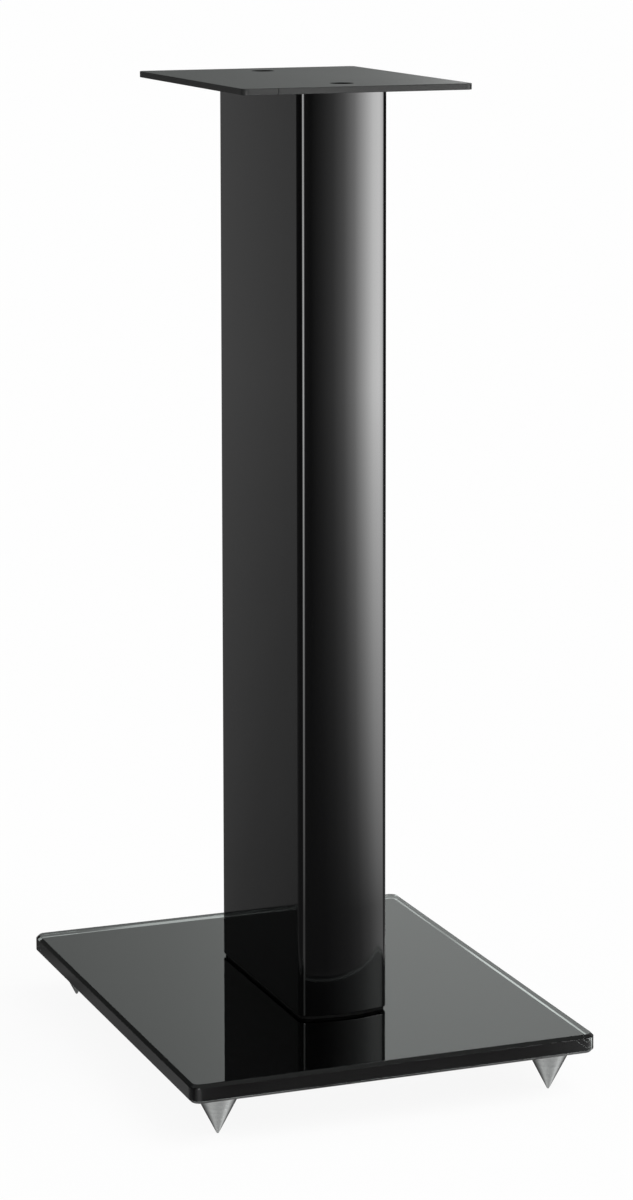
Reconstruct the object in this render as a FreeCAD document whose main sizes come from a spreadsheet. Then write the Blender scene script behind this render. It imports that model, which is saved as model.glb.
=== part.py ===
import FreeCAD
import Part
import math
import os
import Sketcher

# Speaker stand: a steel top plate on a gloss black hollow column, bolted to a glass base on four
# screw-in spikes. Millimetres, +Z up, front towards -Y, origin on the floor under the middle.

driving = [
    ("overallHeight", 627.0, "floor to the top plate's upper face"),
    ("plateWidth", 150.0, "top plate across"),
    ("plateDepth", 200.0, "top plate front to back"),
    ("plateThick", 4.0, "top plate"),
    ("plateCorner", 4.0, "top plate's corner radius"),
    ("plateEdge", 0.4, "rounding of the plate's sharp edges"),
    ("markWidth", 0.7, "laser start mark on the front edge"),
    ("markDeep", 0.35, "laser start mark's depth"),
    ("markOffset", 52.5, "laser start mark left of the middle"),
    ("topHoleSpacing", 140.0, "between the two column screws"),
    ("topHoleWide", 14.8, "countersink at the plate's face"),
    ("topHoleThrough", 7.0, "clearance hole for an M6 screw"),
    ("sinkAngle", 90.0, "countersink and screw head, full angle"),
    ("screwHeadWide", 11.3, "M6 countersunk head"),
    ("screwHeadRim", 0.2, "cylindrical rim of the head"),
    ("screwLength", 22.0, "M6 countersunk screw, overall"),
    ("screwTipBevel", 0.6, "bevel of the screw's tip"),
    ("screwSocket", 4.0, "hexagon socket across flats"),
    ("screwSocketDeep", 2.2, "hexagon socket"),
    ("columnWidth", 59.0, "column across its flat sides"),
    ("columnDepth", 155.0, "column over its two curved ends"),
    ("columnEndRadius", 90.0, "curved ends"),
    ("columnCorner", 5.0, "outer corner radius"),
    ("columnWall", 3.0, "wall of the extrusion"),
    ("columnEdge", 0.6, "rounding of the lower rim"),
    ("webOffset", 42.0, "inner webs, from the middle"),
    ("webThick", 3.0, "inner webs"),
    ("topPortWide", 12.0, "screw port in the end wall, outside"),
    ("topPortBore", 6.0, "M6 thread in the end port"),
    ("topPortLead", 0.8, "bevel at the top of the end port's thread"),
    ("basePortWide", 14.0, "screw port in the web, outside"),
    ("basePortBore", 8.0, "M8 thread in the web's port"),
    ("gasketThick", 2.0, "gasket between column and glass"),
    ("gasketInset", 1.2, "gasket's outline inside the column's"),
    ("glassWidth", 266.0, "glass base across"),
    ("glassDepth", 330.0, "glass base front to back"),
    ("glassThick", 12.0, "glass base"),
    ("glassCorner", 7.0, "glass corner radius"),
    ("glassBevel", 2.0, "ground bevel above and below"),
    ("glassUnderside", 27.0, "glass above the floor"),
    ("glassHole", 14.0, "drilled hole for a bolt and its sleeve"),
    ("filmThick", 0.3, "black film under the glass"),
    ("filmInset", 3.5, "clear margin round the film"),
    ("sleeveWide", 13.8, "bolt sleeve, outside"),
    ("sleeveBore", 8.4, "bolt sleeve, inside"),
    ("clampWidth", 52.0, "clamp plate across"),
    ("clampDepth", 130.0, "clamp plate front to back"),
    ("clampThick", 3.0, "clamp plate"),
    ("clampCorner", 6.0, "clamp plate's corner radius"),
    ("sheetThick", 1.0, "rubber sheet over the clamp plate"),
    ("washerWide", 16.0, "M8 washer, outside"),
    ("washerThick", 1.6, "M8 washer"),
    ("boltThread", 7.9, "M8 bolt, drawn with its running clearance"),
    ("boltLength", 40.0, "M8 bolt under the head"),
    ("boltHeadWide", 14.0, "button head"),
    ("boltHeadHigh", 4.4, "button head"),
    ("boltCrownWide", 9.2, "flat crown of the button head"),
    ("boltShoulderWide", 12.4, "button head where its crown turns steep"),
    ("boltShoulderHigh", 1.1, "that place, above the crown"),
    ("boltRimHigh", 2.8, "start of the head's straight rim, above the crown"),
    ("boltTipBevel", 0.9, "bevel of the bolt's tip"),
    ("boltSocket", 5.0, "hexagon socket across flats"),
    ("boltSocketDeep", 2.6, "hexagon socket"),
    ("screwThread", 5.9, "M6 screw, drawn with its running clearance"),
    ("fitGap", 0.05, "gap left between mating cones"),
    ("footX", 109.5, "spike axis from the middle, across"),
    ("footY", 143.5, "spike axis from the middle, front to back"),
    ("socketThick", 5.3, "foot socket, a collar that carries on the spike's cone"),
    ("socketLand", 1.2, "foot socket's cylindrical edge under the film"),
    ("socketBore", 8.0, "M8 thread of socket and spike"),
    ("studLength", 14.0, "threaded stud"),
    ("studBevel", 0.8, "stud's ends"),
    ("studClear", 0.2, "stud above the floor of its hole"),
    ("spikeTip", 0.55, "radius at the spike's point"),
    ("spikeTipRound", 0.5, "rounding of the point"),
    ("spikeSlope", 0.515, "tangent of half the cone's angle"),
    ("seamBevel", 0.1, "edges where the spike meets its socket"),
    ("spikeBoreDeep", 9.6, "stud's hole in the spike"),
]

doc = FreeCAD.newDocument("SpeakerStand")
sheet = doc.addObject("Spreadsheet::Sheet", "Sizes")


def fillSheet():
    # one row for each driving dimension: name, value, note
    for row, (alias, value, note) in enumerate(driving, start=1):
        sheet.set(f"A{row}", alias)
        sheet.set(f"B{row}", str(value))
        sheet.set(f"C{row}", note)
        sheet.setAlias(f"B{row}", alias)
    doc.recompute()


def size(alias):
    return float(sheet.get(alias))


def formula(text):
    # a formula in the sheet's words, as seen from another object of the document
    words = sorted((alias for alias, _, _ in driving), key=len, reverse=True)
    for word in words:
        text = text.replace(word, "<" + str(words.index(word)) + ">")
    for index, word in enumerate(words):
        text = text.replace("<" + str(index) + ">", "Sizes." + word)
    return text


def number(text):
    # the same formula worked out, for the sketch's first guess
    result = sheet.evalExpression(text)
    return float(getattr(result, "Value", result))


def newBody(name, x="0", y="0", z="0"):
    body = doc.addObject("PartDesign::Body", name)
    body.Label = name
    for axis, text in (("x", x), ("y", y), ("z", z)):
        body.setExpression("Placement.Base." + axis, formula(text))
    return body


def newSketch(body, name, role="XY_Plane", lift="0"):
    plane = [item for item in body.Origin.OriginFeatures if item.Role == role][0]
    sketch = body.newObject("Sketcher::SketchObject", name)
    sketch.AttachmentSupport = [(plane, "")]
    sketch.MapMode = "FlatFace"
    sketch.setExpression("AttachmentOffset.Base.z", formula(lift))
    return sketch


def hold(sketch, name, constraint, text):
    # a named dimension of the sketch, driven by the sheet
    index = sketch.addConstraint(constraint)
    sketch.renameConstraint(index, name)
    sketch.setExpression("Constraints." + name, formula(text))


def holdAcross(sketch, name, ends, guess, text):
    hold(sketch, name, Sketcher.Constraint("DistanceX", *ends, guess), text)


def holdAlong(sketch, name, ends, guess, text):
    hold(sketch, name, Sketcher.Constraint("DistanceY", *ends, guess), text)


def addRectangle(sketch, tag, width, depth, x="0", y="0"):
    # a rectangle whose middle is at x, y
    left = number(x) - number(width) / 2
    right = number(x) + number(width) / 2
    low = number(y) - number(depth) / 2
    high = number(y) + number(depth) / 2
    corners = [(left, low), (right, low), (right, high), (left, high)]
    first = sketch.GeometryCount
    for index, start in enumerate(corners):
        end = corners[(index + 1) % 4]
        line = Part.LineSegment(FreeCAD.Vector(*start, 0), FreeCAD.Vector(*end, 0))
        sketch.addGeometry(line, False)
    for index in range(4):
        following = first + (index + 1) % 4
        sketch.addConstraint(Sketcher.Constraint("Coincident", first + index, 2, following, 1))
        direction = "Horizontal" if index % 2 == 0 else "Vertical"
        sketch.addConstraint(Sketcher.Constraint(direction, first + index))
    holdAcross(sketch, tag + "Width", (first, 1, first, 2), right - left, width)
    holdAlong(sketch, tag + "Depth", (first + 1, 1, first + 1, 2), high - low, depth)
    holdAcross(sketch, tag + "Left", (-1, 1, first, 1), left, f"{x} - ({width}) / 2")
    holdAlong(sketch, tag + "Low", (-1, 1, first, 1), low, f"{y} - ({depth}) / 2")


def addCircle(sketch, tag, diameter, y="0"):
    # a circle on the stand's centreline
    radius = number(diameter) / 2
    centre = FreeCAD.Vector(0, number(y), 0)
    index = sketch.addGeometry(Part.Circle(centre, FreeCAD.Vector(0, 0, 1), radius), False)
    if y == "0":
        sketch.addConstraint(Sketcher.Constraint("Coincident", index, 3, -1, 1))
    else:
        sketch.addConstraint(Sketcher.Constraint("PointOnObject", index, 3, -2))
        holdAlong(sketch, tag + "Y", (-1, 1, index, 3), centre.y, y)
    hold(sketch, tag + "Size", Sketcher.Constraint("Diameter", index, 2 * radius), diameter)


def addHexagon(sketch, acrossFlats):
    # a regular hexagon round the origin, its corners on a construction circle
    radius = number(acrossFlats) / math.sqrt(3)
    turns = [math.radians(60 * index) for index in range(6)]
    corners = [FreeCAD.Vector(radius * math.cos(turn), radius * math.sin(turn), 0) for turn in turns]
    for index in range(6):
        sketch.addGeometry(Part.LineSegment(corners[index], corners[(index + 1) % 6]), False)
    circle = sketch.addGeometry(Part.Circle(FreeCAD.Vector(), FreeCAD.Vector(0, 0, 1), radius), True)
    sketch.addConstraint(Sketcher.Constraint("Coincident", circle, 3, -1, 1))
    for index in range(6):
        sketch.addConstraint(Sketcher.Constraint("Coincident", index, 2, (index + 1) % 6, 1))
        sketch.addConstraint(Sketcher.Constraint("PointOnObject", index, 1, circle))
        if index:
            sketch.addConstraint(Sketcher.Constraint("Equal", 0, index))
    sketch.addConstraint(Sketcher.Constraint("PointOnObject", 0, 1, -1))
    overCorners = Sketcher.Constraint("Diameter", circle, 2 * radius)
    hold(sketch, "corners", overCorners, f"{acrossFlats} * 2 / sqrt(3)")


def addColumnOutline(sketch, inset):
    # two flat sides joined by two arcs that share their centres with the column's curved ends
    side = number(f"columnWidth / 2 - ({inset})")
    bend = number(f"columnEndRadius - ({inset})")
    centre = number("columnDepth / 2 - columnEndRadius")
    reach = centre + math.sqrt(bend ** 2 - side ** 2)
    half = math.asin(side / bend)
    up = FreeCAD.Vector(0, 0, 1)
    right = Part.LineSegment(FreeCAD.Vector(side, -reach, 0), FreeCAD.Vector(side, reach, 0))
    left = Part.LineSegment(FreeCAD.Vector(-side, reach, 0), FreeCAD.Vector(-side, -reach, 0))
    rearCircle = Part.Circle(FreeCAD.Vector(0, centre, 0), up, bend)
    frontCircle = Part.Circle(FreeCAD.Vector(0, -centre, 0), up, bend)
    rear = Part.ArcOfCircle(rearCircle, math.pi / 2 - half, math.pi / 2 + half)
    front = Part.ArcOfCircle(frontCircle, -math.pi / 2 - half, -math.pi / 2 + half)
    for item in (right, rear, left, front):
        sketch.addGeometry(item, False)
    for index in range(4):
        sketch.addConstraint(Sketcher.Constraint("Coincident", index, 2, (index + 1) % 4, 1))
    for index in (0, 2):
        sketch.addConstraint(Sketcher.Constraint("Vertical", index))
    for index in (1, 3):
        sketch.addConstraint(Sketcher.Constraint("PointOnObject", index, 3, -2))
    sideText = f"columnWidth / 2 - ({inset})"
    bendText = f"columnEndRadius - ({inset})"
    middleText = "columnDepth / 2 - columnEndRadius"
    holdAcross(sketch, "right", (-1, 1, 0, 1), side, sideText)
    holdAcross(sketch, "left", (2, 1, -1, 1), side, sideText)
    hold(sketch, "rearBend", Sketcher.Constraint("Radius", 1, bend), bendText)
    hold(sketch, "frontBend", Sketcher.Constraint("Radius", 3, bend), bendText)
    holdAlong(sketch, "rearMiddle", (-1, 1, 1, 3), centre, middleText)
    holdAlong(sketch, "frontMiddle", (3, 3, -1, 1), centre, middleText)


def addPad(body, name, sketch, length):
    pad = body.newObject("PartDesign::Pad", name)
    pad.Profile = sketch
    pad.setExpression("Length", formula(length))
    sketch.Visibility = False
    doc.recompute()
    return pad


def addPocket(body, name, sketch, depth, upwards=False):
    # a cut that must take material away; it runs down from its sketch unless told otherwise
    before = body.Shape.Volume
    pocket = body.newObject("PartDesign::Pocket", name)
    pocket.Profile = sketch
    pocket.setExpression("Length", formula(depth))
    pocket.Reversed = upwards
    sketch.Visibility = False
    doc.recompute()
    if body.Shape.Volume > before - 0.01:
        raise RuntimeError(body.Label + ": " + name + " cuts nothing")
    return pocket


def edgeNames(feature, test):
    names = ["Edge" + str(index + 1) for index, edge in enumerate(feature.Shape.Edges) if test(edge)]
    if not names:
        raise RuntimeError(feature.Name + ": no edge passes the test")
    return names


def isUpright(edge):
    box = edge.BoundBox
    return box.ZLength > 0.01 and box.XLength < 0.01 and box.YLength < 0.01


def liesAt(height):
    # edges that lie flat at one height of the body
    return lambda edge: edge.BoundBox.ZLength < 0.01 and abs(edge.BoundBox.ZMin - height) < 0.01


def isPortMouth(edge):
    # the M6 bores' upper circles: as wide as the bore, and at the column's top
    box = edge.BoundBox
    wide = abs(box.XLength - size("topPortBore")) < 0.01
    return wide and box.ZLength < 0.01 and box.ZMin > size("overallHeight") / 2


def roundEdges(body, name, base, radius, test):
    fillet = body.newObject("PartDesign::Fillet", name)
    fillet.Base = (base, edgeNames(base, test))
    fillet.setExpression("Radius", formula(radius))
    doc.recompute()
    return fillet


def bevelEdges(body, name, base, width, test):
    chamfer = body.newObject("PartDesign::Chamfer", name)
    chamfer.Base = (base, edgeNames(base, test))
    chamfer.setExpression("Size", formula(width))
    doc.recompute()
    return chamfer


def turnProfile(body, name, outline):
    # a solid of revolution round the body's own Z axis: outline is radius and height, corner by corner
    sketch = newSketch(body, name + "Profile", "XZ_Plane")
    places = [FreeCAD.Vector(number(radius), number(height), 0) for radius, height in outline]
    count = len(outline)
    for index in range(count):
        sketch.addGeometry(Part.LineSegment(places[index], places[(index + 1) % count]), False)
    for index, (radius, height) in enumerate(outline):
        sketch.addConstraint(Sketcher.Constraint("Coincident", index, 2, (index + 1) % count, 1))
        if radius == "0":
            sketch.addConstraint(Sketcher.Constraint("PointOnObject", index, 1, -2))
        else:
            holdAcross(sketch, f"radius{index}", (-1, 1, index, 1), places[index].x, radius)
        if height == "0":
            sketch.addConstraint(Sketcher.Constraint("PointOnObject", index, 1, -1))
        else:
            holdAlong(sketch, f"height{index}", (-1, 1, index, 1), places[index].y, height)
    turned = body.newObject("PartDesign::Revolution", name)
    turned.Profile = sketch
    turned.ReferenceAxis = (sketch, ["V_Axis"])
    turned.Angle = 360.0
    sketch.Visibility = False
    doc.recompute()
    return turned


def makeTopPlate():
    body = newBody("top_plate", z="overallHeight - plateThick")
    outline = newSketch(body, "PlateOutline")
    addRectangle(outline, "plate", "plateWidth", "plateDepth")
    pad = addPad(body, "PlatePad", outline, "plateThick")
    corners = roundEdges(body, "PlateCorners", pad, "plateCorner", isUpright)
    thick = size("plateThick")
    roundEdges(body, "PlateEdges", corners, "plateEdge",
               lambda edge: liesAt(0)(edge) or liesAt(thick)(edge))
    holes = newSketch(body, "PlateHoles", lift="plateThick")
    addCircle(holes, "front", "topHoleThrough", "-topHoleSpacing / 2")
    addCircle(holes, "rear", "topHoleThrough", "topHoleSpacing / 2")
    before = body.Shape.Volume
    drilled = body.newObject("PartDesign::Hole", "PlateSinks")
    drilled.Profile = holes
    doc.recompute()
    drilled.Threaded = False
    drilled.DepthType = "ThroughAll"
    drilled.setExpression("Diameter", formula("topHoleThrough"))
    drilled.HoleCutType = "Countersink"
    drilled.HoleCutCustomValues = True
    drilled.setExpression("HoleCutDiameter", formula("topHoleWide"))
    drilled.setExpression("HoleCutCountersinkAngle", formula("sinkAngle"))
    doc.recompute()
    wide, narrow = size("topHoleWide") / 2, size("topHoleThrough") / 2
    deep = wide - narrow
    cone = math.pi * deep * (wide ** 2 + wide * narrow + narrow ** 2) / 3
    straight = math.pi * narrow ** 2 * (thick - deep)
    if abs(before - body.Shape.Volume - 2 * (cone + straight)) > 1.0:
        raise RuntimeError("the countersunk holes have the wrong volume")
    mark = newSketch(body, "MarkOutline", lift="plateThick")
    addRectangle(mark, "mark", "markWidth", "markDeep * 2", "-markOffset", "-plateDepth / 2")
    addPocket(body, "LaserMark", mark, "plateThick")


def makeTopScrew(name, y):
    # countersunk head up, its cone just clear of the plate's countersink
    sunk = "(topHoleWide - screwHeadWide) / 2 - screwHeadRim - fitGap"
    body = newBody(name, y=y, z=f"overallHeight - ({sunk}) - screwLength")
    neck = "screwLength - screwHeadRim - (screwHeadWide - screwThread) / 2"
    turnProfile(body, "Screw", [
        ("0", "0"),
        ("screwThread / 2 - screwTipBevel", "0"),
        ("screwThread / 2", "screwTipBevel"),
        ("screwThread / 2", neck),
        ("screwHeadWide / 2", "screwLength - screwHeadRim"),
        ("screwHeadWide / 2", "screwLength"),
        ("0", "screwLength"),
    ])
    socket = newSketch(body, "SocketOutline", lift="screwLength")
    addHexagon(socket, "screwSocket")
    addPocket(body, "Socket", socket, "screwSocketDeep")


def makeColumn():
    # an extrusion: outer wall, two webs, and a screw port at each end and in each web
    body = newBody("column", z="glassUnderside + glassThick + gasketThick")
    tall = "overallHeight - plateThick - glassUnderside - glassThick - gasketThick"
    outline = newSketch(body, "ColumnOutline")
    addColumnOutline(outline, "0")
    pad = addPad(body, "ColumnPad", outline, tall)
    corners = roundEdges(body, "ColumnCorners", pad, "columnCorner", isUpright)
    roundEdges(body, "ColumnRim", corners, "columnEdge", liesAt(0))
    hollow = newSketch(body, "HollowOutline")
    addColumnOutline(hollow, "columnWall")
    addPocket(body, "Hollow", hollow, tall, upwards=True)
    for tag, y in (("Front", "-webOffset"), ("Rear", "webOffset")):
        web = newSketch(body, tag + "WebOutline")
        addRectangle(web, "web", "columnWidth - columnWall", "webThick", "0", y)
        addPad(body, tag + "Web", web, tall)
        port = newSketch(body, tag + "BasePortOutline")
        addCircle(port, "port", "basePortWide", y)
        addPad(body, tag + "BasePort", port, tall)
    for tag, y in (("Front", "-topHoleSpacing / 2"), ("Rear", "topHoleSpacing / 2")):
        port = newSketch(body, tag + "TopPortOutline")
        addCircle(port, "port", "topPortWide", y)
        addPad(body, tag + "TopPort", port, tall)
    bores = newSketch(body, "BoreOutline")
    addCircle(bores, "frontTop", "topPortBore", "-topHoleSpacing / 2")
    addCircle(bores, "rearTop", "topPortBore", "topHoleSpacing / 2")
    addCircle(bores, "frontBase", "basePortBore", "-webOffset")
    addCircle(bores, "rearBase", "basePortBore", "webOffset")
    bored = addPocket(body, "Bores", bores, tall, upwards=True)
    bevelEdges(body, "PortLeads", bored, "topPortLead", isPortMouth)


def makeGasket():
    # a flat sheet that follows the column's outline, set in from its wall
    body = newBody("column_gasket", z="glassUnderside + glassThick")
    outline = newSketch(body, "GasketOutline")
    addColumnOutline(outline, "gasketInset")
    pad = addPad(body, "GasketPad", outline, "gasketThick")
    roundEdges(body, "GasketCorners", pad, "columnCorner - gasketInset", isUpright)
    holes = newSketch(body, "GasketHoles", lift="gasketThick")
    addCircle(holes, "front", "sleeveBore", "-webOffset")
    addCircle(holes, "rear", "sleeveBore", "webOffset")
    addPocket(body, "GasketBores", holes, "gasketThick")


def makeBaseSheet(name, width, depth, thick, corner, bore, z):
    # a flat sheet with rounded corners and the two bolt holes
    body = newBody(name, z=z)
    outline = newSketch(body, "SheetOutline")
    addRectangle(outline, "sheet", width, depth)
    pad = addPad(body, "SheetPad", outline, thick)
    rounded = roundEdges(body, "SheetCorners", pad, corner, isUpright)
    holes = newSketch(body, "SheetHoles", lift=thick)
    addCircle(holes, "front", bore, "-webOffset")
    addCircle(holes, "rear", bore, "webOffset")
    return body, rounded, holes


def makeGlassBase():
    body, rounded, holes = makeBaseSheet("glass_base", "glassWidth", "glassDepth", "glassThick",
                                         "glassCorner", "glassHole", "glassUnderside")
    thick = size("glassThick")
    bevelEdges(body, "GlassBevels", rounded, "glassBevel",
               lambda edge: liesAt(0)(edge) or liesAt(thick)(edge))
    addPocket(body, "GlassBores", holes, "glassThick")


def makeUnderSheets():
    # from the glass down: black film, rubber sheet, clamp plate
    sheets = [
        ("backing_film", "glassWidth - 2 * filmInset", "glassDepth - 2 * filmInset", "filmThick",
         "glassCorner - filmInset", "glassHole", "glassUnderside - filmThick"),
        ("clamp_sheet", "clampWidth", "clampDepth", "sheetThick",
         "clampCorner", "sleeveBore", "glassUnderside - filmThick - sheetThick"),
        ("clamp_plate", "clampWidth", "clampDepth", "clampThick",
         "clampCorner", "sleeveBore", "glassUnderside - filmThick - sheetThick - clampThick"),
    ]
    for name, width, depth, thick, corner, bore, z in sheets:
        body, rounded, holes = makeBaseSheet(name, width, depth, thick, corner, bore, z)
        addPocket(body, "SheetBores", holes, thick)


def makeRing(name, y, z, outer, bore, thick):
    body = newBody(name, y=y, z=z)
    outline = newSketch(body, "RingOutline")
    addCircle(outline, "outer", outer)
    addCircle(outline, "inner", bore)
    addPad(body, "RingPad", outline, thick)


def makeBaseBolt(name, y, z):
    # button head down, thread up into the column's web port
    body = newBody(name, y=y, z=z)
    top = "boltHeadHigh + boltLength"
    turnProfile(body, "Bolt", [
        ("0", "0"),
        ("boltCrownWide / 2", "0"),
        ("boltShoulderWide / 2", "boltShoulderHigh"),
        ("boltHeadWide / 2", "boltRimHigh"),
        ("boltHeadWide / 2", "boltHeadHigh"),
        ("boltThread / 2", "boltHeadHigh"),
        ("boltThread / 2", f"{top} - boltTipBevel"),
        ("boltThread / 2 - boltTipBevel", top),
        ("0", top),
    ])
    socket = newSketch(body, "SocketOutline")
    addHexagon(socket, "boltSocket")
    addPocket(body, "Socket", socket, "boltSocketDeep", upwards=True)


def makeBaseFixings():
    clampUnderside = "glassUnderside - filmThick - sheetThick - clampThick"
    for side, y in (("front", "-webOffset"), ("rear", "webOffset")):
        makeRing("bolt_sleeve_" + side, y, "glassUnderside - filmThick", "sleeveWide", "sleeveBore",
                 "glassThick + filmThick")
        makeRing("base_washer_" + side, y, f"{clampUnderside} - washerThick", "washerWide", "sleeveBore",
                 "washerThick")
        makeBaseBolt("base_bolt_" + side, y, f"{clampUnderside} - washerThick - boltHeadHigh")


def coneAt(height):
    # the radius of the cone that spike and socket share, from its height above the floor
    return f"(spikeTip + ({height}) * spikeSlope)"


def makeFoot(corner, x, y):
    # socket under the glass, stud in the socket, spike on the stud, screwed right home
    socketLow = "glassUnderside - filmThick - socketThick"
    socket = newBody("foot_socket_" + corner, x, y, socketLow)
    socketFoot = coneAt(f"{socketLow} + seamBevel")
    socketHead = coneAt("glassUnderside - filmThick - socketLand")
    turnProfile(socket, "Socket", [
        ("socketBore / 2", "0"),
        (f"{socketFoot} - seamBevel", "0"),
        (socketFoot, "seamBevel"),
        (socketHead, "socketThick - socketLand"),
        (socketHead, "socketThick"),
        ("socketBore / 2", "socketThick"),
    ])
    stud = newBody("spike_stud_" + corner, x, y, f"{socketLow} - spikeBoreDeep + studClear")
    turnProfile(stud, "Stud", [
        ("0", "0"),
        ("boltThread / 2 - studBevel", "0"),
        ("boltThread / 2", "studBevel"),
        ("boltThread / 2", "studLength - studBevel"),
        ("boltThread / 2 - studBevel", "studLength"),
        ("0", "studLength"),
    ])
    spike = newBody("spike_" + corner, x, y)
    spikeHead = coneAt(f"{socketLow} - seamBevel")
    turned = turnProfile(spike, "Spike", [
        ("0", "0"),
        ("spikeTip", "0"),
        (spikeHead, f"{socketLow} - seamBevel"),
        (f"{spikeHead} - seamBevel", socketLow),
        ("0", socketLow),
    ])
    roundEdges(spike, "SpikePoint", turned, "spikeTipRound", liesAt(0))
    bore = newSketch(spike, "BoreOutline", lift=socketLow)
    addCircle(bore, "bore", "socketBore")
    addPocket(spike, "StudBore", bore, "spikeBoreDeep")


def makeFeet():
    for corner, x, y in (("front_left", "-footX", "-footY"), ("front_right", "footX", "-footY"),
                         ("rear_left", "-footX", "footY"), ("rear_right", "footX", "footY")):
        makeFoot(corner, x, y)


def writeParts():
    # every feature must have worked before any file is written
    doc.recompute()
    for item in doc.Objects:
        if "Invalid" in item.State or "Error" in item.State:
            raise RuntimeError(item.Name + " failed: " + str(item.State))
    bodies = [item for item in doc.Objects if item.TypeId == "PartDesign::Body"]
    for body in bodies:
        shape = body.Shape
        if shape.isNull() or not shape.isValid() or len(shape.Solids) != 1:
            raise RuntimeError(body.Label + " is not one sound solid")
    os.makedirs("parts", exist_ok=True)
    for body in bodies:
        body.Shape.exportStep("parts/" + body.Label + ".step")
        box = body.Shape.BoundBox
        print(f"{body.Label:24s} z {box.ZMin:8.2f} to {box.ZMax:8.2f}  volume {body.Shape.Volume:12.1f}")


fillSheet()
makeTopPlate()
makeTopScrew("top_screw_front", "-topHoleSpacing / 2")
makeTopScrew("top_screw_rear", "topHoleSpacing / 2")
makeColumn()
makeGasket()
makeGlassBase()
makeUnderSheets()
makeBaseFixings()
makeFeet()
writeParts()
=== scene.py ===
import math

import bmesh
import bpy
import numpy as np
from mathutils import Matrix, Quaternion, Vector


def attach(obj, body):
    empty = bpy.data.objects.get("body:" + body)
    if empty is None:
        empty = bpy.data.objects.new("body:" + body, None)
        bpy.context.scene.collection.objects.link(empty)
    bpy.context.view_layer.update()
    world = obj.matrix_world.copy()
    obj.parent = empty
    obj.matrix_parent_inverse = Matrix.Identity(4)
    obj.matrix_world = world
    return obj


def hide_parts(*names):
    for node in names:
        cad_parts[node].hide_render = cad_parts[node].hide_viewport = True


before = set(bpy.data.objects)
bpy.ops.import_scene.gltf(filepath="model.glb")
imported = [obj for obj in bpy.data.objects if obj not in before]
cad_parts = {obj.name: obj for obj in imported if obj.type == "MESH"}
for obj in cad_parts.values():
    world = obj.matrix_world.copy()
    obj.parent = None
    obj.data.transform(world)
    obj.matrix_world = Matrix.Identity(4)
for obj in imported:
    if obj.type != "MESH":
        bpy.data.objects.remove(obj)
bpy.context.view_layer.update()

mm = 0.001
mergeWithin = 1e-7
# where the four feet stand, in millimetres
corners = {"front_left": (-109.5, -143.5), "front_right": (109.5, -143.5),
           "rear_left": (-109.5, 143.5), "rear_right": (109.5, 143.5)}


# materials: sockets that can be used in sums

class Wire:
    # an output socket; each operator adds one Math node
    def __init__(self, finish, socket):
        self.finish = finish
        self.socket = socket

    def math(self, operation, first, second=0.0):
        return self.finish.node("ShaderNodeMath", {"operation": operation}, {0: first, 1: second})

    def __add__(self, other):
        return self.math("ADD", self, other)

    def __radd__(self, other):
        return self.math("ADD", other, self)

    def __sub__(self, other):
        return self.math("SUBTRACT", self, other)

    def __rsub__(self, other):
        return self.math("SUBTRACT", other, self)

    def __mul__(self, other):
        return self.math("MULTIPLY", self, other)

    def __rmul__(self, other):
        return self.math("MULTIPLY", other, self)

    def __truediv__(self, other):
        return self.math("DIVIDE", self, other)

    def power(self, exponent):
        return self.math("POWER", self, exponent)

    def wave(self):
        return self.math("SINE", self)

    def clipped(self):
        return self.finish.node("ShaderNodeClamp", {}, {"Value": self})

    def mixed(self, other, share):
        # this where share is 0, other where it is 1
        return self * (1 - share) + other * share

    def ramped(self, low, high):
        # smooth step from 0 at low to 1 at high
        return self.finish.node("ShaderNodeMapRange", {"interpolation_type": "SMOOTHSTEP"},
                                {"Value": self, "From Min": low, "From Max": high})


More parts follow.
